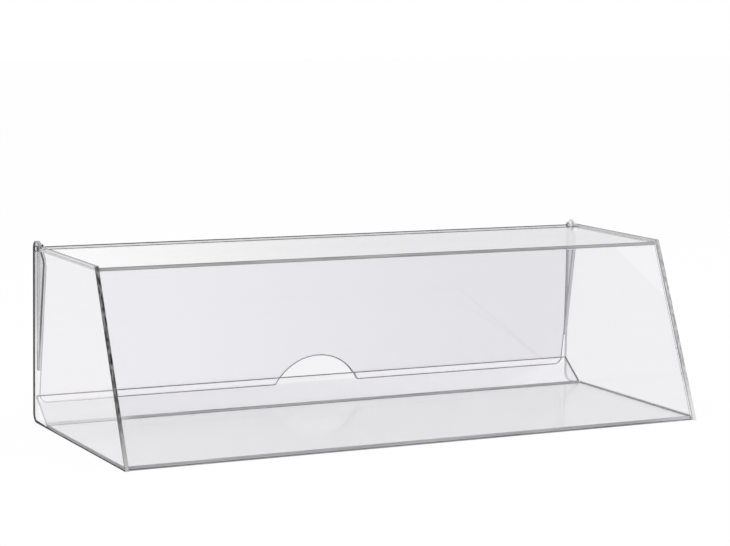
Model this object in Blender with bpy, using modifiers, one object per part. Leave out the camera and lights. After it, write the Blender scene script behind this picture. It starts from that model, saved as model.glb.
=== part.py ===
# Counter-top display case made of clear acrylic sheet, with a lift-up flap at the back.
# Metres, +Z up, -Y towards the front. The origin is the middle of the underside.

import math

import bmesh
import bpy
from mathutils import Vector

# Overall sizes
case_width = 0.600
base_depth = 0.240
top_depth = 0.165
panel_height = 0.170

# Sheet thicknesses
side_sheet = 0.004
body_sheet = 0.003
cheek_sheet = 0.003

# Fits between the pieces
reveal = 0.002            # the side panels stand this far proud of the front and the top
glue_gap = 0.0003
rest_gap = 0.0003         # between the closed flap and the lip that it rests on
running_gap = 0.001       # between the flap and each side panel
cut_overrun = 0.005       # how far each cutter reaches past what it cuts

# Side panels
rear_corner_radius = 0.009
ear_radius = 0.0075
ear_centre_drop = 0.003   # below the panel's top edge

# Top panel
top_setback = 0.013       # from its rear edge to the rear of the side panels

# Base tray, one sheet bent up into a lip along the back
lip_height = 0.026
lip_setback = 0.0022
lip_angle = math.radians(37.5)
bend_radius = 0.003       # inside every bend

# Rear flap, one sheet with a bent neck that reaches back to the hinge
flap_foot_height = 0.0165
flap_corner_radius = 0.0085
neck_reach = 0.0115
neck_drop = 0.012
neck_overlap = 0.0015     # past the hinge line

# Finger notch in the flap's lower edge
notch_radius = 0.050
notch_height = 0.0295
notch_fillet = 0.0025

# Cheeks at the flap's two ends
cheek_lobe_radius = 0.0047
cheek_tip_width = 0.0028

# Hinge pins
pin_diameter = 0.005
pin_clearance = 0.0003
pin_recess = 0.0005
pin_chamfer = 0.0004

# Fineness of the mesh
edge_softness = 0.0003
weld_distance = 0.00001
flat_angle = math.radians(0.1)
arc_step = math.radians(9)
pin_sides = 32
sharp_angle = math.radians(30)

# Places that follow from the sizes
front = -base_depth / 2
rear = base_depth / 2
inner_width = case_width - 2 * side_sheet
sheet_width = inner_width - 2 * glue_gap
slope = (base_depth - top_depth) / panel_height
slope_stretch = math.hypot(1, slope)
top_upper = panel_height - reveal
top_lower = top_upper - body_sheet
hinge_point = Vector((rear - ear_radius, panel_height - ear_centre_drop))
flap_end = inner_width / 2 - running_gap
flap_sheet_width = 2 * (flap_end - cheek_sheet - glue_gap)


def clear_scene():
    for item in list(bpy.data.objects):
        bpy.data.objects.remove(item, do_unlink=True)


def new_collection(name):
    collection = bpy.data.collections.new(name)
    bpy.context.scene.collection.children.link(collection)
    return collection


clear_scene()
case_parts = new_collection("display_case")
cutters = new_collection("cutters")


# Materials
def acrylic(name, colour, roughness):
    material = bpy.data.materials.new(name)
    material.use_nodes = True
    shader = material.node_tree.nodes["Principled BSDF"]
    shader.inputs["Base Color"].default_value = colour
    shader.inputs["Roughness"].default_value = roughness
    shader.inputs["Metallic"].default_value = 0.0
    shader.inputs["IOR"].default_value = 1.49
    shader.inputs["Transmission Weight"].default_value = 1.0
    material.diffuse_color = colour
    return material


def steel(name, colour, roughness):
    material = bpy.data.materials.new(name)
    material.use_nodes = True
    shader = material.node_tree.nodes["Principled BSDF"]
    shader.inputs["Base Color"].default_value = colour
    shader.inputs["Roughness"].default_value = roughness
    shader.inputs["Metallic"].default_value = 1.0
    material.diffuse_color = colour
    return material


# Outlines, as points (y, z) in a section through the case, or (x, y) on a sheet
def arc(centre, radius, start, end):
    steps = max(2, math.ceil(abs(end - start) / arc_step))
    points = []
    for step in range(steps + 1):
        angle = start + (end - start) * step / steps
        points.append(centre + radius * Vector((math.cos(angle), math.sin(angle))))
    return points


def left_of(direction):
    return Vector((-direction.y, direction.x))


def angle_of(direction):
    return math.atan2(direction.y, direction.x)


def bent_sides(start, corner, end, sheet):
    # Follows a bent sheet's middle line, and gives its left side and its right side.
    run_in = (corner - start).normalized()
    run_out = (end - corner).normalized()
    turn = angle_of(run_out) - angle_of(run_in)
    hand = math.copysign(1, turn)
    middle_radius = bend_radius + sheet / 2
    bend_start = corner - run_in * middle_radius * math.tan(abs(turn) / 2)
    bend_centre = bend_start + left_of(run_in) * hand * middle_radius
    first_angle = angle_of(left_of(run_in) * -hand)
    sides = []
    for offset in (sheet / 2, -sheet / 2):
        side = [start + left_of(run_in) * offset]
        side += arc(bend_centre, middle_radius - hand * offset, first_angle, first_angle + turn)
        side.append(end + left_of(run_out) * offset)
        sides.append(side)
    return sides


def front_line(z, inset):
    # The sloping front of the case at height z, moved inwards square to the slope.
    return Vector((front + z * slope + inset * slope_stretch, z))


# Solids
def plate(name, outline, thickness, collection):
    curve = bpy.data.curves.new(name, "CURVE")
    curve.dimensions = "2D"
    curve.fill_mode = "BOTH"
    curve.extrude = thickness / 2
    spline = curve.splines.new("POLY")
    spline.points.add(len(outline) - 1)
    for point, place in zip(spline.points, outline):
        point.co = (place.x, place.y, 0, 1)
    spline.use_cyclic_u = True
    drawn = bpy.data.objects.new(name + "_outline", curve)
    collection.objects.link(drawn)
    bpy.context.view_layer.update()
    evaluated = drawn.evaluated_get(bpy.context.evaluated_depsgraph_get())
    mesh = bpy.data.meshes.new_from_object(evaluated)
    bpy.data.objects.remove(drawn, do_unlink=True)
    work = bmesh.new()
    work.from_mesh(mesh)
    bmesh.ops.remove_doubles(work, verts=work.verts, dist=weld_distance)
    bmesh.ops.dissolve_limit(work, angle_limit=flat_angle, verts=work.verts, edges=work.edges)
    bmesh.ops.recalc_face_normals(work, faces=work.faces)
    work.to_mesh(mesh)
    work.free()
    mesh.name = name
    mesh.shade_smooth()
    mesh.set_sharp_from_angle(angle=sharp_angle)
    piece = bpy.data.objects.new(name, mesh)
    collection.objects.link(piece)
    return piece


def section(name, outline, width, centre_x, collection):
    # Stands an outline in the (y, z) plane up across the case.
    piece = plate(name, outline, width, collection)
    piece.rotation_euler = (math.radians(90), 0, math.radians(90))
    piece.location = (centre_x, 0, 0)
    return piece


def cut(piece, cutter, operation="DIFFERENCE"):
    boolean = piece.modifiers.new(cutter.name, "BOOLEAN")
    boolean.operation = operation
    boolean.solver = "EXACT"
    boolean.object = cutter


def hide_cutter(cutter):
    cutter.hide_render = True
    cutter.display_type = "WIRE"


def soften(piece, width=edge_softness):
    bevel = piece.modifiers.new("polished_edges", "BEVEL")
    bevel.width = width
    bevel.segments = 1
    bevel.limit_method = "ANGLE"
    bevel.angle_limit = sharp_angle


def dress(piece, material):
    piece.data.materials.clear()
    piece.data.materials.append(material)


def hang_on(piece, empty):
    piece.parent = empty
    piece.matrix_parent_inverse = empty.matrix_world.inverted()


# Hinge line, which the flap's pieces hang on
def make_hinge():
    hinge = bpy.data.objects.new("flap_hinge", None)
    hinge.empty_display_size = ear_radius
    hinge.location = (0, hinge_point.x, hinge_point.y)
    case_parts.objects.link(hinge)
    bpy.context.view_layer.update()
    return hinge


def make_pin_cutter(side, name):
    outer = case_width / 2 + cut_overrun
    inner = flap_end - cheek_sheet - cut_overrun
    place = (side * (outer + inner) / 2, hinge_point.x, hinge_point.y)
    bpy.ops.mesh.primitive_cylinder_add(
        vertices=pin_sides, radius=pin_diameter / 2 + pin_clearance, depth=outer - inner,
        location=place, rotation=(0, math.radians(90), 0))
    cutter = bpy.context.object
    cutter.name = name
    for collection in list(cutter.users_collection):
        collection.objects.unlink(cutter)
    cutters.objects.link(cutter)
    hide_cutter(cutter)
    return cutter


# Side panels
def side_outline():
    corner = Vector((rear - rear_corner_radius, rear_corner_radius))
    outline = arc(corner, rear_corner_radius, -math.pi / 2, 0)
    ear_end = math.pi - math.asin(ear_centre_drop / ear_radius)
    outline += arc(hinge_point, ear_radius, 0, ear_end)
    outline.append(Vector((rear - top_depth, panel_height)))
    outline.append(Vector((front, 0)))
    return outline


def make_side_panel(side, name, pin_cutter):
    centre_x = side * (case_width - side_sheet) / 2
    panel = section(name, side_outline(), side_sheet, centre_x, case_parts)
    cut(panel, pin_cutter)
    soften(panel)
    dress(panel, acrylic(name + "_acrylic", (0.93, 0.94, 0.95, 1), 0.02))
    return panel


# Top panel
def make_top_panel():
    top_rear = rear - top_setback
    outline = [
        front_line(top_lower, reveal),
        Vector((top_rear, top_lower)),
        Vector((top_rear, top_upper)),
        front_line(top_upper, reveal),
    ]
    panel = section("top_panel", outline, sheet_width, 0, case_parts)
    soften(panel)
    dress(panel, acrylic("top_panel_acrylic", (0.95, 0.95, 0.95, 1), 0.02))
    return panel


# Front panel
def make_front_panel():
    head = top_lower - glue_gap
    outline = [
        front_line(0, reveal),
        front_line(0, reveal + body_sheet),
        front_line(head, reveal + body_sheet),
        front_line(head, reveal),
    ]
    panel = section("front_panel", outline, sheet_width, 0, case_parts)
    soften(panel)
    dress(panel, acrylic("front_panel_acrylic", (0.94, 0.94, 0.95, 1), 0.02))
    return panel


# Base tray
def lip_points():
    # The lip's cut end: its outer corner, which the flap rests on, and its middle.
    up_lip = Vector((math.cos(lip_angle), math.sin(lip_angle)))
    across = left_of(up_lip)
    outer = Vector((rear - lip_setback, lip_height - across.y * body_sheet))
    return outer, outer + across * body_sheet / 2


def make_base_tray():
    outer, middle = lip_points()
    fold = Vector((middle.x - (middle.y - body_sheet / 2) / math.tan(lip_angle), body_sheet / 2))
    floor_front = Vector((front, body_sheet / 2))
    upper, lower = bent_sides(floor_front, fold, middle, body_sheet)
    inset = reveal + body_sheet + glue_gap
    upper[0] = front_line(body_sheet, inset)
    lower[0] = front_line(0, inset)
    tray = section("base_tray", lower + upper[::-1], sheet_width, 0, case_parts)
    soften(tray)
    dress(tray, acrylic("base_tray_acrylic", (0.92, 0.92, 0.93, 1), 0.03))
    return tray


# Rear flap
def flap_line():
    # The flap's middle line: foot, bend and neck end. It leans on the lip's outer corner.
    bend = hinge_point - Vector((neck_reach, neck_drop))
    lip_corner, _ = lip_points()
    to_lip = lip_corner - bend
    lean = math.atan2(to_lip.x, -to_lip.y)
    lean += math.asin((body_sheet / 2 + rest_gap) / to_lip.length)
    fall = bend.y - flap_foot_height
    foot = Vector((bend.x + fall * math.tan(lean), flap_foot_height))
    to_hinge = (hinge_point - bend).normalized()
    return foot, bend, hinge_point + to_hinge * neck_overlap, lean


def notched_outline(length):
    # The flap seen square on, with its foot at y = 0.
    half = flap_sheet_width / 2
    corner = flap_corner_radius
    notch_centre = Vector((0, notch_height - notch_radius))
    reach = notch_radius + notch_fillet
    fillet_x = math.sqrt(reach ** 2 - (notch_fillet - notch_centre.y) ** 2)
    down = -math.pi / 2
    left_fillet = Vector((-fillet_x, notch_fillet))
    right_fillet = Vector((fillet_x, notch_fillet))
    meet = angle_of(right_fillet - notch_centre)
    outline = arc(Vector((corner - half, corner)), corner, -math.pi, down)
    outline += arc(left_fillet, notch_fillet, down, -meet)
    outline += arc(notch_centre, notch_radius, math.pi - meet, meet)[1:-1]
    outline += arc(right_fillet, notch_fillet, meet - math.pi, down)
    outline += arc(Vector((half - corner, corner)), corner, down, 0)
    outline.append(Vector((half, length)))
    outline.append(Vector((-half, length)))
    return outline


def make_flap_cutter():
    foot, bend, _, lean = flap_line()
    length = (bend - foot).length + neck_drop + neck_overlap + cut_overrun
    depth = 2 * (neck_reach + neck_overlap + body_sheet + cut_overrun)
    cutter = plate("flap_outline", notched_outline(length), depth, cutters)
    cutter.rotation_euler = (math.radians(90) + lean, 0, 0)
    cutter.location = (0, foot.x, foot.y)
    hide_cutter(cutter)
    return cutter


def make_rear_flap(hinge):
    foot, bend, neck_end, _ = flap_line()
    front_side, rear_side = bent_sides(foot, bend, neck_end, body_sheet)
    blank_width = flap_sheet_width + 2 * cut_overrun
    blank = section("rear_flap", front_side + rear_side[::-1], blank_width, 0, case_parts)
    cut(blank, make_flap_cutter(), "INTERSECT")
    soften(blank)
    dress(blank, acrylic("rear_flap_acrylic", (0.94, 0.94, 0.95, 1), 0.02))
    hang_on(blank, hinge)
    return blank


# Flap cheeks
def cheek_outline():
    foot, bend, neck_end, _ = flap_line()
    front_side, _ = bent_sides(foot, bend, neck_end, body_sheet)
    cheek_rear = hinge_point.x + cheek_lobe_radius
    down_front = (front_side[0] - front_side[1]).normalized()
    tip_y = cheek_rear - cheek_tip_width
    tip = front_side[1] + down_front * (tip_y - front_side[1].x) / down_front.x
    back_down_neck = angle_of(bend - hinge_point) + 2 * math.pi
    meet = back_down_neck - math.asin(body_sheet / 2 / cheek_lobe_radius)
    outline = [Vector((cheek_rear, tip.y)), tip]
    outline += front_side[1:-1]
    outline += arc(hinge_point, cheek_lobe_radius, meet, 0)
    return outline


def make_cheek(side, name, pin_cutter, hinge):
    centre_x = side * (flap_end - cheek_sheet / 2)
    cheek = section(name, cheek_outline(), cheek_sheet, centre_x, case_parts)
    cut(cheek, pin_cutter)
    soften(cheek)
    dress(cheek, acrylic(name + "_acrylic", (0.72, 0.73, 0.75, 1), 0.15))
    hang_on(cheek, hinge)
    return cheek


# Hinge pins
def make_pin(side, name, hinge):
    outer = case_width / 2 - pin_recess
    inner = flap_end - cheek_sheet
    place = (side * (outer + inner) / 2, hinge_point.x, hinge_point.y)
    bpy.ops.mesh.primitive_cylinder_add(
        vertices=pin_sides, radius=pin_diameter / 2, depth=outer - inner,
        location=place, rotation=(0, math.radians(90), 0))
    pin = bpy.context.object
    pin.name = name
    pin.data.name = name
    for collection in list(pin.users_collection):
        collection.objects.unlink(pin)
    case_parts.objects.link(pin)
    soften(pin, pin_chamfer)
    pin.data.shade_smooth()
    pin.data.set_sharp_from_angle(angle=sharp_angle)
    dress(pin, steel(name + "_steel", (0.55, 0.56, 0.58, 1), 0.25))
    bpy.context.view_layer.update()
    hang_on(pin, hinge)
    return pin


# The whole case
make_top_panel()
make_front_panel()
make_base_tray()
flap_hinge = make_hinge()
make_rear_flap(flap_hinge)
for side, hand in ((-1, "left"), (1, "right")):
    hole_cutter = make_pin_cutter(side, hand + "_pin_hole")
    make_side_panel(side, hand + "_side_panel", hole_cutter)
    make_cheek(side, hand + "_flap_cheek", hole_cutter, flap_hinge)
    make_pin(side, hand + "_hinge_pin", flap_hinge)
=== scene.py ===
import math

import bpy
from mathutils import Matrix, Vector


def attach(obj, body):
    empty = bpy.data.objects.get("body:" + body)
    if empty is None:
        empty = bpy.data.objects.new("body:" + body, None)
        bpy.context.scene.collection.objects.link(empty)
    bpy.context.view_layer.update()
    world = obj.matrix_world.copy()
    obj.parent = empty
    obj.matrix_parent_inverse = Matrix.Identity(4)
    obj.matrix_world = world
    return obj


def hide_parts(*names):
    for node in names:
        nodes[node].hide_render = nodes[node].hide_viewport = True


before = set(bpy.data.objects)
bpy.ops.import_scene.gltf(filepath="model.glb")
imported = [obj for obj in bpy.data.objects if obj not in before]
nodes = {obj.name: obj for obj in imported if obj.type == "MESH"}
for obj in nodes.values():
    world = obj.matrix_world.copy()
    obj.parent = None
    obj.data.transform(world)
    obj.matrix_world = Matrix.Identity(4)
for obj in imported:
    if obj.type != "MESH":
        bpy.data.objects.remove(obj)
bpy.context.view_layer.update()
print("loaded", len(nodes), "nodes of the case")


# short calls for the shader nodes

def newMaterial(name):
    material = bpy.data.materials.new(name)
    material.use_nodes = True
    material.node_tree.nodes.clear()
    return material


def addNode(tree, kind, x=0, y=0, **values):
    node = tree.nodes.new(kind)
    node.location = (x, y)
    for key, value in values.items():
        setattr(node, key, value)
    return node


def feed(tree, given, socket):
    # given is an output socket or a plain value
    if isinstance(given, bpy.types.NodeSocket):
        tree.links.new(given, socket)
    else:
        socket.default_value = given


def mathNode(tree, operation, first, second=0.0, x=0, y=0):
    node = addNode(tree, "ShaderNodeMath", x, y, operation=operation)
    feed(tree, first, node.inputs[0])
    feed(tree, second, node.inputs[1])
    return node.outputs[0]


def mixColor(tree, share, low, high, x=0, y=0):
    node = addNode(tree, "ShaderNodeMix", x, y, data_type="RGBA")
    feed(tree, share, node.inputs[0])
    feed(tree, low, node.inputs[6])
    feed(tree, high, node.inputs[7])
    return node.outputs[2]


def between(tree, value, start, end, low=0.0, high=1.0, x=0, y=0):
    # value carried from start..end to low..high with soft ends
    node = addNode(tree, "ShaderNodeMapRange", x, y, interpolation_type="SMOOTHSTEP")
    feed(tree, value, node.inputs["Value"])
    feed(tree, start, node.inputs["From Min"])
    feed(tree, end, node.inputs["From Max"])
    node.inputs["To Min"].default_value = low
    node.inputs["To Max"].default_value = high
    return node.outputs["Result"]


def noiseAt(tree, place, scale, detail, x=0, y=0):
    noise = addNode(tree, "ShaderNodeTexNoise", x, y)
    noise.inputs["Scale"].default_value = scale
    noise.inputs["Detail"].default_value = detail
    tree.links.new(place, noise.inputs["Vector"])
    return noise.outputs["Fac"]


def newGroup(name, inputs, outputs):
    group = bpy.data.node_groups.new(name, "ShaderNodeTree")
    for label, kind, value in inputs:
        socket = group.interface.new_socket(name=label, in_out="INPUT", socket_type=kind)
        socket.default_value = value
    for label, kind in outputs:
        group.interface.new_socket(name=label, in_out="OUTPUT", socket_type=kind)
    entry = addNode(group, "NodeGroupInput", -1000, 0)
    leave = addNode(group, "NodeGroupOutput", 1000, 0)
    place = addNode(group, "ShaderNodeTexCoord", -1000, -300).outputs["Object"]
    return group, entry.outputs, leave.inputs, place


def placeGroup(tree, group, x, y, **values):
    node = addNode(tree, "ShaderNodeGroup", x, y, node_tree=group)
    for key, value in values.items():
        feed(tree, value, node.inputs[key])
    return node.outputs


# faint wiping marks on the polished faces

def makeWipeMarks():
    group, given, leave, place = newGroup(
        "wipeMarks",
        [("polish", "NodeSocketFloat", 0.0), ("smear", "NodeSocketFloat", 0.01)],
        [("roughness", "NodeSocketFloat")])
    cloud = noiseAt(group, place, 9.0, 5.0, -800, -300)
    marks = between(group, cloud, 0.52, 0.78, x=-600, y=-300)
    smeared = mathNode(group, "MULTIPLY", marks, given["smear"], -400, -200)
    group.links.new(mathNode(group, "ADD", smeared, given["polish"], -200, -100), leave["roughness"])
    return group


# painted light and shade: a long sheet looks a little deeper toward its right end, and a cheek clearer
# toward its foot, as light and reflections fall on them, not as a tint of the acrylic

def makePaintedLightAndShadeFall():
    group, given, leave, place = newGroup(
        "paintedLightAndShadeFall",
        [("tone", "NodeSocketColor", (1, 1, 1, 1)), ("farTone", "NodeSocketColor", (1, 1, 1, 1)),
         ("along", "NodeSocketVector", (1, 0, 0)),
         ("fallStart", "NodeSocketFloat", -0.27), ("fallFull", "NodeSocketFloat", 0.24)],
        [("color", "NodeSocketColor")])
    reach = addNode(group, "ShaderNodeVectorMath", -800, -300, operation="DOT_PRODUCT")
    group.links.new(place, reach.inputs[0])
    group.links.new(given["along"], reach.inputs[1])
    across = between(group, reach.outputs["Value"], given["fallStart"], given["fallFull"],
                     x=-600, y=-300)
    group.links.new(mixColor(group, across, given["tone"], given["farTone"], -300, 0), leave["color"])
    return group


# the cut edges: streaks left by the saw and the polishing wheel, paler toward one end; the tones and
# the paler end are painted light and shade, standing in for what the edge reflects

def makeCutMarksAndPaintedShade():
    group, given, leave, place = newGroup(
        "cutMarksAndPaintedShade",
        [("tone", "NodeSocketColor", (0.5, 0.5, 0.5, 1)),
         ("darkTone", "NodeSocketColor", (0.1, 0.1, 0.1, 1)),
         ("endTone", "NodeSocketColor", (0.5, 0.5, 0.5, 1)), ("grain", "NodeSocketVector", (1, 1, 1)),
         ("level", "NodeSocketFloat", 0.5), ("along", "NodeSocketVector", (1, 0, 0)),
         ("endStart", "NodeSocketFloat", 0.24), ("endFull", "NodeSocketFloat", 0.3)],
        [("color", "NodeSocketColor"), ("roughness", "NodeSocketFloat"), ("height", "NodeSocketFloat")])
    stretch = addNode(group, "ShaderNodeMapping", -800, -300)
    group.links.new(place, stretch.inputs["Vector"])
    group.links.new(given["grain"], stretch.inputs["Scale"])
    streaks = noiseAt(group, stretch.outputs[0], 1.0, 4.0, -600, -300)
    lowered = mathNode(group, "SUBTRACT", streaks, 0.5, -400, -300)
    widened = mathNode(group, "MULTIPLY", lowered, 2.2, -250, -300)
    raised = mathNode(group, "ADD", widened, given["level"], -100, -300)
    marks = between(group, raised, 0.0, 1.0, x=50, y=-300)
    reach = addNode(group, "ShaderNodeVectorMath", -600, -600, operation="DOT_PRODUCT")
    group.links.new(place, reach.inputs[0])
    group.links.new(given["along"], reach.inputs[1])
    nearEnd = between(group, reach.outputs["Value"], given["endStart"], given["endFull"],
                      x=-200, y=-600)
    streaked = mixColor(group, marks, given["darkTone"], given["tone"], 300, 100)
    group.links.new(mixColor(group, nearEnd, streaked, given["endTone"], 500, 100), leave["color"])
    group.links.new(between(group, marks, 0.0, 1.0, 0.22, 0.42, 300, -200), leave["roughness"])
    group.links.new(marks, leave["height"])
    return group


# turning rings round the hinge pins

def makeTurnedMarks():
    group, given, leave, place = newGroup(
        "turnedMarks",
        [("tone", "NodeSocketColor", (0.6, 0.6, 0.6, 1)),
         ("darkTone", "NodeSocketColor", (0.4, 0.4, 0.4, 1))],
        [("color", "NodeSocketColor"), ("roughness", "NodeSocketFloat"), ("height", "NodeSocketFloat")])
    stretch = addNode(group, "ShaderNodeMapping", -800, -300)
    stretch.inputs["Scale"].default_value = (4200, 300, 300)
    group.links.new(place, stretch.inputs["Vector"])
    rings = noiseAt(group, stretch.outputs[0], 1.0, 3.0, -600, -300)
    marks = between(group, rings, 0.3, 0.7, x=-400, y=-300)
    group.links.new(mixColor(group, marks, given["darkTone"], given["tone"], -200, 100), leave["color"])
    group.links.new(between(group, marks, 0.0, 1.0, 0.24, 0.12, -200, -200), leave["roughness"])
    group.links.new(marks, leave["height"])
    return group


wipeMarks = makeWipeMarks()
paintedLightAndShadeFall = makePaintedLightAndShadeFall()
cutMarksAndPaintedShade = makeCutMarksAndPaintedShade()
turnedMarks = makeTurnedMarks()

acrylicValues = {
    "ior": 1.49,
    "smear": 0.008,
    "lampTint": (0.95, 0.95, 0.955, 1),     # what a lamp's light keeps in one pass
    "streakDepth": 0.0001,
    "ringDepth": 0.000004,
    "streakStrength": 0.25,
}


def makeClear(name, tone, farTone=None, polish=0.0, ior=acrylicValues["ior"], coat=0.0, **fallPlace):
    material = newMaterial(name)
    tree = material.node_tree
    out = addNode(tree, "ShaderNodeOutputMaterial", 600, 0)
    body = addNode(tree, "ShaderNodeBsdfPrincipled", 0, 0)
    # the tone carried across the sheet is painted light and shade
    if farTone:
        fall = placeGroup(tree, paintedLightAndShadeFall, -300, 0, tone=tone, farTone=farTone, **fallPlace)
        tree.links.new(fall["color"], body.inputs["Base Color"])
    else:
        body.inputs["Base Color"].default_value = tone
    wiped = placeGroup(tree, wipeMarks, -300, -200, polish=polish, smear=acrylicValues["smear"])
    tree.links.new(wiped["roughness"], body.inputs["Roughness"])
    body.inputs["IOR"].default_value = ior
    body.inputs["Transmission Weight"].default_value = 1.0
    body.inputs["Coat Weight"].default_value = coat
    clear = addNode(tree, "ShaderNodeBsdfTransparent", 0, -400)
    clear.inputs["Color"].default_value = acrylicValues["lampTint"]
    path = addNode(tree, "ShaderNodeLightPath", 0, 300)
    blend = addNode(tree, "ShaderNodeMixShader", 350, 0)
    tree.links.new(path.outputs["Is Shadow Ray"], blend.inputs[0])
    tree.links.new(body.outputs[0], blend.inputs[1])
    tree.links.new(clear.outputs[0], blend.inputs[2])
    tree.links.new(blend.outputs[0], out.inputs["Surface"])
    return material


def streakedBody(name, marks, metallic, shine, depth):
    material = newMaterial(name)
    tree = material.node_tree
    out = addNode(tree, "ShaderNodeOutputMaterial", 600, 0)
    found = marks(tree)
    body = addNode(tree, "ShaderNodeBsdfPrincipled", 200, 0)
    tree.links.new(found["color"], body.inputs["Base Color"])
    tree.links.new(found["roughness"], body.inputs["Roughness"])
    body.inputs["Metallic"].default_value = metallic
    body.inputs["Specular IOR Level"].default_value = shine
    body.inputs["IOR"].default_value = acrylicValues["ior"]
    bump = addNode(tree, "ShaderNodeBump", 0, -300)
    bump.inputs["Strength"].default_value = acrylicValues["streakStrength"]
    bump.inputs["Distance"].default_value = depth
    tree.links.new(found["height"], bump.inputs["Height"])
    tree.links.new(bump.outputs[0], body.inputs["Normal"])
    tree.links.new(body.outputs[0], out.inputs["Surface"])
    return material


# an edge finish whose tones are painted light and shade over the real streaks
def makeEdge(name, tone, darkTone, endTone=None, shine=0.5, **values):
    values.update(tone=tone, darkTone=darkTone, endTone=endTone or tone)
    depth = acrylicValues["streakDepth"]
    return streakedBody(name, lambda tree: placeGroup(tree, cutMarksAndPaintedShade, -300, 0, **values),
                        0.0, shine, depth)


def makeSteel(name, **values):
    depth = acrylicValues["ringDepth"]
    return streakedBody(name, lambda tree: placeGroup(tree, turnedMarks, -300, 0, **values),
                        1.0, 0.5, depth)


def grey(value, blue=0.0):
    return (value, value * 0.995, value + blue, 1)


alongX = (12, 400, 400)      # streaks that run along X
alongSide = (500, 25, 25)    # streaks that run along a side panel's outline
slantGrain = (620, 160, 160)
evenGrain = (60, 60, 60)     # arrises, with no streaks to speak of

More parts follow.
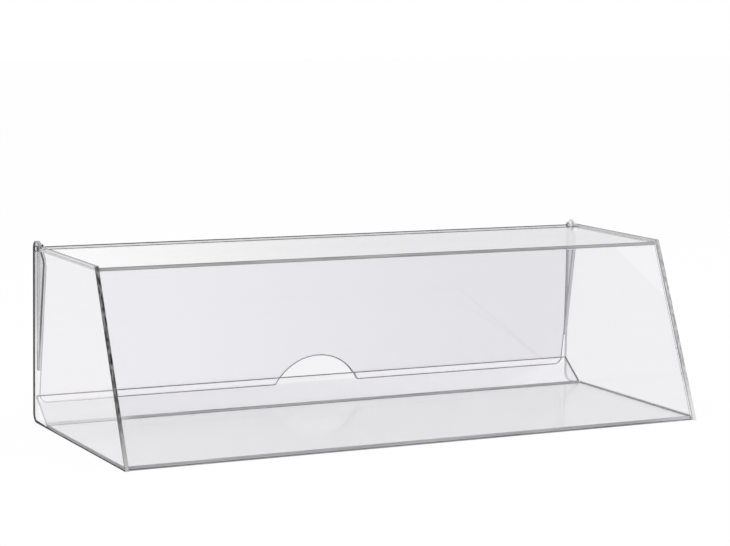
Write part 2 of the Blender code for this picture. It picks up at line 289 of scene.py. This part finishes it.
finishes = {
    # the side panels mirror next to nothing in the photograph
    # painted light and shade: each clear sheet gets a tone of its own, deeper or paler for how light
    # and reflections fall on it, and the left rim and the left cheek are painted darker toward their
    # tops
    "leftClear": makeClear("leftSideAcrylic", grey(0.935, 0.006), ior=1.15),
    "leftRimClear": makeClear("leftRimAcrylic", grey(0.34, 0.006), grey(0.88, 0.006), ior=1.15,
                              along=(0, 0, -1), fallStart=-0.13, fallFull=-0.05),
    "rightClear": makeClear("rightSideAcrylic", grey(0.955, 0.006), ior=1.15),
    "topClear": makeClear("topAcrylic", grey(0.94, 0.010), grey(0.89, 0.012), coat=1.0),
    "frontClear": makeClear("frontAcrylic", grey(0.898, 0.012), grey(0.912, 0.012)),
    "trayClear": makeClear("trayAcrylic", grey(0.935), grey(0.995), polish=0.11, ior=1.15),
    "lipClear": makeClear("trayLipAcrylic", grey(0.915, 0.010), grey(0.935, 0.010)),
    "lipTopClear": makeClear("trayLipTopAcrylic", grey(1.0)),
    "flapClear": makeClear("flapAcrylic", grey(0.94, 0.012), grey(0.83, 0.016)),
    "flapFootClear": makeClear("flapFootAcrylic", grey(0.985, 0.006)),
    "leftCheekClear": makeClear("leftCheekAcrylic", grey(0.62, 0.01), grey(0.96, 0.004),
                                along=(0, 0, -1), fallStart=-0.12, fallFull=-0.05),
    # painted light and shade: the tones of the cut edges and lines stand for what each reflects, not a
    # colour of their own, so matching edges are dark on the left and pale on the right, rims seen by
    # total reflection inside a sheet are near black, and some grow paler toward one end
    "cheekLine": makeEdge("cheekLine", tone=grey(0.03), darkTone=grey(0.004), endTone=grey(0.62),
                          shine=0.05, grain=alongSide, level=0.35,
                          along=(0, 0, -1), endStart=-0.10, endFull=-0.05),
    "rightCheekClear": makeClear("rightCheekAcrylic", grey(0.70, 0.01)),
    "arris": makeEdge("darkArris", tone=grey(0.06), darkTone=grey(0.012),
                      grain=evenGrain, level=0.4),
    "softArris": makeEdge("softArris", tone=grey(0.6), darkTone=grey(0.4),
                          grain=evenGrain, level=0.5),
    "leftSlantEdge": makeEdge("leftSlantEdge", tone=grey(0.28), darkTone=grey(0.0), endTone=grey(0.44),
                              grain=slantGrain, level=0.42, along=(0, 0, 1), endStart=0.060,
                              endFull=0.0, shine=0.1),
    "rightSlantEdge": makeEdge("rightSlantEdge", tone=grey(0.61), darkTone=grey(0.24),
                               endTone=grey(0.72), grain=slantGrain, level=0.5,
                               along=(0, 0, 1), endStart=0.070, endFull=0.0),
    "sideTopEdge": makeEdge("sideTopEdge", tone=grey(0.60), darkTone=grey(0.44),
                            grain=alongSide, level=0.5),
    "sideRearEdge": makeEdge("sideRearEdge", tone=grey(0.10), darkTone=grey(0.01),
                             grain=alongSide, level=0.4),
    "sideFootEdge": makeEdge("sideFootEdge", tone=grey(0.16), darkTone=grey(0.04),
                             grain=alongSide, level=0.5),
    "rimDark": makeEdge("rimDark", tone=grey(0.03), darkTone=grey(0.004),
                        grain=alongSide, level=0.35, shine=0.05),
    "rimGrey": makeEdge("rimGrey", tone=grey(0.46), darkTone=grey(0.30), endTone=grey(0.68),
                        grain=alongSide, level=0.5, along=(0, 0, 1), endStart=0.055, endFull=0.0),
    "rightArris": makeEdge("rightArris", tone=grey(0.52), darkTone=grey(0.38), endTone=grey(0.60),
                           grain=evenGrain, level=0.5, along=(0, 0, 1), endStart=0.055, endFull=0.0),
    "rightTopEdge": makeEdge("rightTopEdge", tone=grey(0.80), darkTone=grey(0.64),
                             grain=alongSide, level=0.5),
    "topArris": makeEdge("topArris", tone=grey(0.15), darkTone=grey(0.05),
                         grain=alongSide, level=0.5),
    "earPale": makeEdge("earPale", tone=grey(0.92), darkTone=grey(0.78),
                        grain=alongSide, level=0.6),
    "earEdge": makeEdge("earEdge", tone=grey(0.48), darkTone=grey(0.30),
                        grain=alongSide, level=0.5, shine=0.2),
    "topBand": makeEdge("topBandEdge", tone=grey(0.38), darkTone=grey(0.24),
                        grain=alongX, level=0.5),
    "footBand": makeEdge("footBandEdge", tone=grey(0.56), darkTone=grey(0.40), endTone=grey(0.75),
                         grain=alongX, level=0.5, along=(1, 0, 0), endStart=0.23, endFull=0.295),
    # these lines grow pale where the photograph shows them through the left side panel
    # painted shade: these are opaque lines standing in for the tray's fold, its lip and the flap's foot
    # seen through the sheets
    "foldLine": makeEdge("foldLine", tone=grey(0.44), darkTone=grey(0.30), endTone=grey(0.76),
                         grain=alongX, level=0.5, along=(-1, 0, 0), endStart=0.205, endFull=0.230),
    "lipLine": makeEdge("lipLine", tone=grey(0.30), darkTone=grey(0.18), endTone=grey(0.62),
                        grain=alongX, level=0.5, along=(-1, 0, 0), endStart=0.205, endFull=0.230),
    "flapFoot": makeEdge("flapFoot", tone=grey(0.36), darkTone=grey(0.24), endTone=grey(0.8),
                         grain=alongX, level=0.5, along=(-1, 0, 0), endStart=0.205, endFull=0.230),
    # painted shade: dark opaque lines standing in for the rear edges of the top and the flap's neck
    # seen through the sheets
    "rearLine": makeEdge("rearLine", tone=grey(0.10), darkTone=grey(0.03),
                         grain=alongX, level=0.5),
    "topRear": makeEdge("topRear", tone=grey(0.12), darkTone=grey(0.04), shine=0.0,
                        grain=alongX, level=0.5),
    "rearPale": makeEdge("rearPale", tone=grey(0.88), darkTone=grey(0.80),
                         grain=alongSide, level=0.7),
    "lineDark": makeEdge("lineDark", tone=grey(0.18), darkTone=grey(0.08),
                         grain=alongX, level=0.5),
    "endPale": makeEdge("endPale", tone=grey(0.70), darkTone=grey(0.58),
                        grain=alongSide, level=0.7),
    "seamDark": makeEdge("seamDark", tone=grey(0.74), darkTone=grey(0.62),
                         grain=alongSide, level=0.5),
    "endBright": makeEdge("endBright", tone=grey(0.88), darkTone=grey(0.80),
                          grain=alongSide, level=0.7),
    "endGrey": makeEdge("endGrey", tone=grey(0.55), darkTone=grey(0.47),
                        grain=alongSide, level=0.5),
    "endDark": makeEdge("endDark", tone=grey(0.14), darkTone=grey(0.03),
                        grain=alongSide, level=0.4),
    "pinSteel": makeSteel("pinSteel", tone=grey(0.94), darkTone=grey(0.80)),
    # painted shade: a darker steel tone for the left pin's rim only, where the right pin's rim keeps
    # the plain steel
    "pinRim": makeSteel("pinRimSteel", tone=grey(0.40), darkTone=grey(0.28)),
}
print("made", len(finishes), "finishes")


# each piece is its node's own shape with a finish for its faces, cut edges, arrises and rims

slantOut = (0, -0.9150, 0.4035)
lipOut = (0, -0.6088, 0.7934)
lipBack = (0, 0.6088, -0.7934)
flapOut = (0, -0.9901, -0.1402)
flapBack = (0, 0.9901, 0.1402)
neckOut = (0, -0.7193, 0.6947)

# faces: the ways a sheet's flat faces look; edges: each cut edge's way and finish
# bands: which way the face looks, a point on the plane that cuts it, the way past it, finish
# spots: lowest and highest corner, a way, the least the face must look that way, finish
# rim: which way the face looks, width, lowest and highest corner, finish
# painted light and shade: the bands on the side panels' faces are opaque strips and, on the left's
# inner face, a tinted rim, standing in for edges and rims seen through the sheet, dark on the left and
# grey or pale on the right
leftBands = [((-1, 0, 0), (0, 0.1160, 0), (0, 1, 0), "rimDark"),
             ((-1, 0, 0), (0, 0, 0.0013), (0, 0, -1), "rimDark"),
             ((-1, 0, 0), (0, 0.0600, 0.0013), (0, 0.034, -1), "rimDark"),
             ((1, 0, 0), (0, 0, 0.0500), (0, 0, -1), "leftClear"),
             ((1, 0, 0), (0, 0.1145, 0), (0, 1, 0), "leftRimClear"),
             ((0, 0, 1), (-0.2988, 0, 0), (1, 0, 0), "endDark")]
cornerPlace = (0.111, 0.009)      # centre of the rounded rear foot
for turn, reach in ((22.5, 0.0057), (45, 0.0065), (67.5, 0.0073)):
    past = (0, math.cos(math.radians(turn)), -math.sin(math.radians(turn)))
    onPlane = (0, cornerPlace[0] + past[1] * reach, cornerPlace[1] + past[2] * reach)
    leftBands.append(((-1, 0, 0), onPlane, past, "rimDark"))
rightBands = [((-1, 0, 0), (0, -0.11817, -0.00081), slantOut, "rimGrey"),
              ((-1, 0, 0), (0, 0, 0.1680), (0, 0, 1), "rightTopEdge"),
              ((-1, 0, 0), (0, 0.0868, 0), (0, 1, 0), "rightClear"),
              ((-1, 0, 0), (0, 0, 0.0042), (0, 0, -1), "seamDark"),
              ((0, 0, 1), (0.2982, 0, 0), (1, 0, 0), "endDark")]

# the right ears and their holes all through, but not their flat faces
# painted light: a pale finish on the right ears, standing in for their glints, where the left ear gets
# a darker edge finish
earSpots = [((0.2800, 0.1030, 0.1600), (1, 1, 1), (0, 0, way), 0.05, "earPale") for way in (1, -1)]

pinSides = [(way, "pinSteel") for way in ((0, 1, 0), (0, -1, 0), (0, 0, 1), (0, 0, -1))]

# painted light and shade: matching ends of a piece get different finishes, dark at one end and pale at
# the other, for how they are lit and what they reflect
sheets = {
    "leftSidePanel": {
        "node": "left_side_panel", "body": "case", "slot": "side_acrylic", "clear": "leftClear",
        "faces": [(1, 0, 0)],
        "edges": [(slantOut, "leftSlantEdge"), ((0, 0, 1), "sideTopEdge"), ((0, 1, 0), "sideRearEdge"),
                  ((0, 0, -1), "sideFootEdge")],
        "bands": leftBands,
        "spots": [((-1, 0.1050, 0.1690), (1, 1, 1), (0, -0.7, 0.7), 0.2, "earEdge")],
    },
    "rightSidePanel": {
        "node": "right_side_panel", "body": "case", "slot": "side_acrylic", "clear": "rightClear",
        "faces": [(1, 0, 0)],
        "edges": [(slantOut, "rightSlantEdge"), ((0, 0, 1), "rightTopEdge"), ((0, 1, 0), "rearPale"),
                  ((0, 0, -1), "sideFootEdge")],
        "bands": rightBands,
        "spots": earSpots + [
                  ((-1, 0.1030, -1), (1, 1, 1), (0, 1, 0), 0.1, "rearPale"),
                  ((-1, -1, 0.1690), (1, 0.1030, 1), (0, 0, 1), 0.3, "topArris")],
        "arris": "rightArris",
    },
    "topPanel": {
        "node": "top_panel", "body": "case", "slot": "sheet_acrylic", "clear": "topClear",
        "faces": [(0, 0, 1)],
        "edges": [(slantOut, "topBand"), ((0, 1, 0), "rearLine"), ((1, 0, 0), "endDark"),
                  ((-1, 0, 0), "endBright")],
        # painted shade: a dark opaque strip near the top's rear edge, standing in for the rear edges
        # seen through the sheet
        "bands": [((0, 0, 1), (0, 0.1000, 0), (0, 1, 0), "topClear"),
                  ((0, 0, 1), (0, 0.0952, 0), (0, 1, 0), "topRear")],
        "spots": [((-1, -1, -1), (-0.2950, 1, 1), (-1, 0, 0), 0.3, "endBright")],
    },
    "frontPanel": {
        "node": "front_panel", "body": "case", "slot": "sheet_acrylic", "clear": "frontClear",
        "faces": [slantOut],
        "edges": [((0, 0, -1), "footBand"), ((0, 0, 1), "frontClear"), ((1, 0, 0), "frontClear"),
                  ((-1, 0, 0), "frontClear")],
        "spots": [((-1, -1, 0.1640), (1, 1, 1), (0, 0, 1), 0.6, "frontClear"),
                  ((-1, -1, -1), (1, 1, 1), (1, 0, 0), 0.4, "frontClear"),
                  ((-1, -1, -1), (1, 1, 1), (-1, 0, 0), 0.4, "frontClear")],
    },
    "baseTray": {
        "node": "base_tray", "body": "case", "slot": "sheet_acrylic", "clear": "trayClear",
        "faces": [(0, 0, 1), lipOut],
        "edges": [(slantOut, "footBand"), ((0, 0.7934, 0.6088), "lipLine"), ((1, 0, 0), "endDark"),
                  ((-1, 0, 0), "endPale")],
        # painted shade: opaque fold lines on the tray's floor and lip, and dark bands at its right end,
        # standing in for the fold and edges seen through the sheet
        "bands": [((0, 0, 1), (0, 0.0830, 0), (0, 1, 0), "foldLine"),
                  (lipOut, (0, 0.0880, 0), (0, -1, 0), "foldLine"),
                  ((0, 0, 1), (0.2946, 0, 0), (1, 0, 0), "endDark"),
                  (lipOut, (0.2932, 0, 0), (1, 0, 0), "endDark"),
                  (lipOut, (0, 0, 0.0212), (0, 0, 1), "lipTopClear"),
                  (lipBack, (0, 0, 0.0190), (0, 0, 1), "lipTopClear")],
        "spots": [((-1, 0.0850, 0.0025), (1, 0.0869, 0.0040), (0, 0, 1), 0.7, "foldLine"),
                  ((-1, 0.0849, -1), (1, 1, 1), lipOut, 0.9, "lipClear"),
                  ((-1, 0.0849, -1), (1, 1, 1), lipBack, 0.8, "lipClear"),
                  ((-1, -1, -1), (-0.2950, 1, 1), (-1, 0, 0), 0.3, "endPale")],
    },
    "rearFlap": {
        "node": "rear_flap", "body": "flap", "slot": "sheet_acrylic", "clear": "flapClear",
        "faces": [flapOut, neckOut],
        "edges": [((0, 0.14, -0.99), "flapFoot"), ((0, 0.69, 0.72), "lineDark"), ((1, 0, 0), "endGrey"),
                  ((-1, 0, 0), "endBright")],
        # painted shade: the rim along the flap's outline and the band on its neck are opaque lines
        # standing in for its edges seen through the sheet
        "rim": (flapOut, 0.0009, ((-0.2150, -1, -1), (1, 1, 0.0480)), "flapFoot"),
        "bands": [(neckOut, (0, 0, 0.1680), (0, 0, 1), "rearLine"),
                  (flapOut, (0, 0, 0.0252), (0, 0, -1), "flapFootClear"),
                  (flapBack, (0, 0, 0.0252), (0, 0, -1), "flapFootClear")],
        "spots": [((-1, 0.0990, 0.1520), (1, 0.1040, 0.1585), (0, 1, 0), -2, "flapClear"),
                  ((0.2912, -1, -1), (1, 1, 1), (1, 0, 0), 0.3, "endGrey"),
                  ((-1, -1, 0.1500), (-0.2912, 1, 1), (-1, 0, 0), 0.3, "endPale"),
                  ((-1, -1, -1), (-0.2150, 1, 1), (-0.4, -0.5, -0.75), 0.65, "softArris")],
    },
    "leftFlapCheek": {
        "node": "left_flap_cheek", "body": "flap", "slot": "cheek_acrylic", "clear": "leftCheekClear",
        "faces": [(1, 0, 0)],
        "edges": [((0, 1, 0), "lipTopClear"), ((0, -1, 0), "endBright")],
        "bands": [(flapOut, (-0.2933, 0, 0), (-1, 0, 0), "cheekLine")],
        "spots": [((-1, -1, -1), (-0.2935, 0.1160, 1), flapOut, 0.4, "cheekLine")],
        "arris": "endBright",
    },
    "rightFlapCheek": {
        "node": "right_flap_cheek", "body": "flap", "slot": "cheek_acrylic", "clear": "rightCheekClear",
        "faces": [(1, 0, 0)],
        "edges": [((0, 1, 0), "endPale"), ((0, -1, 0), "endPale")],
        "spots": earSpots,
        "arris": "endPale",
    },
    "leftHingePin": {
        "node": "left_hinge_pin", "body": "flap", "slot": "pin_steel", "clear": "pinSteel",
        "faces": [(1, 0, 0)],
        "edges": pinSides,
        # the darker rim here is painted shade
        "arris": "pinRim",
    },
    "rightHingePin": {
        "node": "right_hinge_pin", "body": "flap", "slot": "pin_steel", "clear": "pinSteel",
        "faces": [(1, 0, 0)],
        "edges": pinSides,
        "arris": "pinSteel",
    },
}


def clearSelection():
    bpy.ops.object.select_all(action="DESELECT")


def within(point, low, high):
    return all(low[i] <= point[i] <= high[i] for i in range(3))


def editAll(piece, work):
    # work is done in edit mode on all faces of the piece
    bpy.context.view_layer.objects.active = piece
    bpy.ops.object.mode_set(mode="EDIT")
    bpy.ops.mesh.select_all(action="SELECT")
    work()
    bpy.ops.object.mode_set(mode="OBJECT")


def copyNode(name, node):
    # a node's mesh is loose triangles, so the copy is merged
    clearSelection()
    piece = bpy.data.objects.new(name, nodes[node].data.copy())
    bpy.context.scene.collection.objects.link(piece)
    piece.data.materials.clear()
    piece.select_set(True)
    editAll(piece, lambda: bpy.ops.mesh.remove_doubles(threshold=0.00001))
    if piece.data.has_custom_normals:
        bpy.ops.mesh.customdata_custom_splitnormals_clear()
    return piece


def cutRim(piece, face, width, place, index):
    # a narrow rim is set in from the outline of a face, and marked where it shows as a line: an opaque
    # painted line standing in for the sheet's edge seen through it
    editAll(piece, lambda: bpy.ops.mesh.dissolve_limited(angle_limit=0.005, delimit={"NORMAL"}))
    editAll(piece, lambda: bpy.ops.mesh.bisect(plane_co=place[0], plane_no=(1, 0, 0)))
    toward = Vector(face)
    bpy.ops.object.mode_set(mode="EDIT")
    bpy.ops.mesh.select_mode(type="FACE")
    bpy.ops.mesh.select_all(action="DESELECT")
    bpy.ops.object.mode_set(mode="OBJECT")
    for polygon in piece.data.polygons:
        polygon.select = polygon.normal.dot(toward) > 0.999
    bpy.ops.object.mode_set(mode="EDIT")
    bpy.ops.mesh.inset(thickness=width, depth=0, use_boundary=True, use_even_offset=True)
    bpy.ops.object.mode_set(mode="OBJECT")
    for polygon in piece.data.polygons:
        if polygon.normal.dot(toward) > 0.999 and not polygon.select and within(polygon.center, *place):
            polygon.material_index = index


def faceFinish(polygon, v, faces, edges):
    normal = polygon.normal
    for face, point, past, finish in v.get("bands", []):
        if normal.dot(Vector(face)) > 0.99 and (polygon.center - Vector(point)).dot(Vector(past)) > 0:
            return finish
    for low, high, toward, least, finish in v.get("spots", []):
        if within(polygon.center, low, high) and normal.dot(Vector(toward)) >= least:
            return finish
    lies = max(abs(normal.dot(face)) for face in faces)
    if lies > 0.97:
        return v["clear"]
    if lies > 0.25 and max(normal.dot(edge) for edge, _ in edges) < 0.97:
        return v.get("arris", "arris")
    return max(edges, key=lambda edge: normal.dot(edge[0]))[1]


def finishSheet(name, v):
    piece = copyNode(name, v["node"])
    order = [v["clear"], v.get("arris", "arris")] + [finish for _, finish in v["edges"]]
    order += [band[3] for band in v.get("bands", [])] + [spot[4] for spot in v.get("spots", [])]
    if "rim" in v:
        order.append(v["rim"][3])
    order = list(dict.fromkeys(order))
    for finish in order:
        piece.data.materials.append(finishes[finish])
    if "rim" in v:
        face, width, place, finish = v["rim"]
        cutRim(piece, face, width, place, order.index(finish))
    for face, point, past, finish in v.get("bands", []):
        editAll(piece, lambda: bpy.ops.mesh.bisect(plane_co=point, plane_no=past))
    faces = [Vector(normal) for normal in v["faces"]]
    edges = [(Vector(normal), finish) for normal, finish in v["edges"]]
    for polygon in piece.data.polygons:
        if polygon.material_index == 0:
            polygon.material_index = order.index(faceFinish(polygon, v, faces, edges))
    bpy.ops.object.shade_smooth_by_angle(angle=math.radians(20))
    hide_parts(v["node"])
    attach(piece, v["body"])
    return piece


for name, v in sheets.items():
    finishSheet(name, v)
print("finished", len(sheets), "pieces")


# floor and light

stageValues = {
    "floorSize": 16.0,
    "floorDrop": 0.0004,
    "floorColor": (0.97, 0.97, 0.97, 1),
    "whiteShare": 0.94,      # how far the floor shows as plain white
    "skyStrength": 0.86,
    "dimCard": (0.540, 0.831, 0.133),    # where the room behind falls off, as the sheets reflect it
    "dimTone": 0.83,
    "dimEdge": 0.9724,       # where the falling off starts and is full, as cosines from that way
    "dimMiddle": 1.0004,
}


def seenShare(tree, share, x, y):
    # share for rays that look, reflect or look through; nothing for the rays that carry light
    path = addNode(tree, "ShaderNodeLightPath", x, y)
    seen = path.outputs
    looks = mathNode(tree, "MAXIMUM", seen["Is Camera Ray"], seen["Is Glossy Ray"], x + 200, y)
    looks = mathNode(tree, "MAXIMUM", looks, seen["Is Transmission Ray"], x + 400, y)
    return mathNode(tree, "MULTIPLY", looks, share, x + 600, y), path


def makeStage():
    clearSelection()
    below = (0, 0, -stageValues["floorDrop"])
    bpy.ops.mesh.primitive_plane_add(size=stageValues["floorSize"], location=below)
    floor = bpy.context.object
    floor.name = "floor"
    material = newMaterial("paleFloor")
    tree = material.node_tree
    out = addNode(tree, "ShaderNodeOutputMaterial", 600, 0)
    matt = addNode(tree, "ShaderNodeBsdfDiffuse", 0, 0)
    matt.inputs["Color"].default_value = stageValues["floorColor"]
    white = addNode(tree, "ShaderNodeEmission", 0, -200)
    white.inputs["Strength"].default_value = 1.0
    blend = addNode(tree, "ShaderNodeMixShader", 300, 0)
    share, _ = seenShare(tree, stageValues["whiteShare"], -600, 300)
    tree.links.new(share, blend.inputs[0])
    tree.links.new(matt.outputs[0], blend.inputs[1])
    tree.links.new(white.outputs[0], blend.inputs[2])
    tree.links.new(blend.outputs[0], out.inputs["Surface"])
    floor.data.materials.append(material)

    world = bpy.data.worlds.new("paleRoom")
    bpy.context.scene.world = world
    world.use_nodes = True
    tree = world.node_tree
    tree.nodes.clear()
    out = addNode(tree, "ShaderNodeOutputWorld", 600, 0)
    dim = addNode(tree, "ShaderNodeBackground", 0, 0)
    dim.inputs["Strength"].default_value = stageValues["skyStrength"]
    plain = addNode(tree, "ShaderNodeBackground", 0, -200)
    plain.inputs["Strength"].default_value = 1.0
    share, path = seenShare(tree, 1.0, -600, 300)
    heading = addNode(tree, "ShaderNodeTexCoord", -900, -300)
    toward = addNode(tree, "ShaderNodeVectorMath", -700, -300, operation="DOT_PRODUCT")
    tree.links.new(heading.outputs["Generated"], toward.inputs[0])
    toward.inputs[1].default_value = Vector(stageValues["dimCard"]).normalized()
    near = between(tree, toward.outputs["Value"], stageValues["dimEdge"], stageValues["dimMiddle"],
                   x=-500, y=-300)
    depth = mathNode(tree, "MULTIPLY", near, path.outputs["Is Glossy Ray"], -300, -400)
    low = stageValues["dimTone"]
    fallen = mixColor(tree, depth, (1, 1, 1, 1), (low, low, low * 1.01, 1), -150, -300)
    tree.links.new(fallen, plain.inputs["Color"])
    dim.inputs["Color"].default_value = (1, 1, 1, 1)
    blend = addNode(tree, "ShaderNodeMixShader", 300, 0)
    tree.links.new(share, blend.inputs[0])
    tree.links.new(dim.outputs[0], blend.inputs[1])
    tree.links.new(plain.outputs[0], blend.inputs[2])
    tree.links.new(blend.outputs[0], out.inputs["Surface"])


lampAim = (0, 0, 0.08)
lampValues = {
    "key": {"place": (-1.2, -1.0, 1.8), "size": 1.6, "power": 10},
    "fill": {"place": (1.4, -0.6, 1.5), "size": 1.4, "power": 5},
}


def makeLamps():
    for name, v in lampValues.items():
        light = bpy.data.lights.new(name, "AREA")
        light.shape = "SQUARE"
        light.size = v["size"]
        light.energy = v["power"]
        lamp = bpy.data.objects.new(name, light)
        bpy.context.scene.collection.objects.link(lamp)
        lamp.location = v["place"]
        aim = Vector(lampAim) - Vector(v["place"])
        lamp.rotation_euler = aim.to_track_quat("-Z", "Y").to_euler()
        lamp.visible_camera = False
        lamp.visible_transmission = False


cameraValues = {
    "place": (-1.00780, -1.92905, 0.43516),
    "turn": 0.47824,       # to the right of +Y, radians
    "dip": 0.13285,        # below the horizon
    "roll": 0.01733,
    "lens": 112.70,
    "sensor": 36,
    "nearest": 0.05,
    "furthest": 60,
}


def makeCamera():
    v = cameraValues
    level = math.cos(v["dip"])
    ahead = Vector((math.sin(v["turn"]) * level, math.cos(v["turn"]) * level, -math.sin(v["dip"])))
    right = Vector((math.cos(v["turn"]), -math.sin(v["turn"]), 0))
    up = right.cross(ahead)
    across = right * math.cos(v["roll"]) + up * math.sin(v["roll"])
    upward = up * math.cos(v["roll"]) - right * math.sin(v["roll"])
    data = bpy.data.cameras.new("photoView")
    data.sensor_width = v["sensor"]
    data.lens = v["lens"]
    data.clip_start = v["nearest"]
    data.clip_end = v["furthest"]
    camera = bpy.data.objects.new("photoView", data)
    bpy.context.scene.collection.objects.link(camera)
    turn = Matrix((across, upward, -ahead)).transposed().to_4x4()
    camera.matrix_world = Matrix.Translation(v["place"]) @ turn
    bpy.context.scene.camera = camera


makeStage()
makeLamps()
makeCamera()
bpy.context.scene.view_settings.view_transform = "Standard"
print("set the stage")
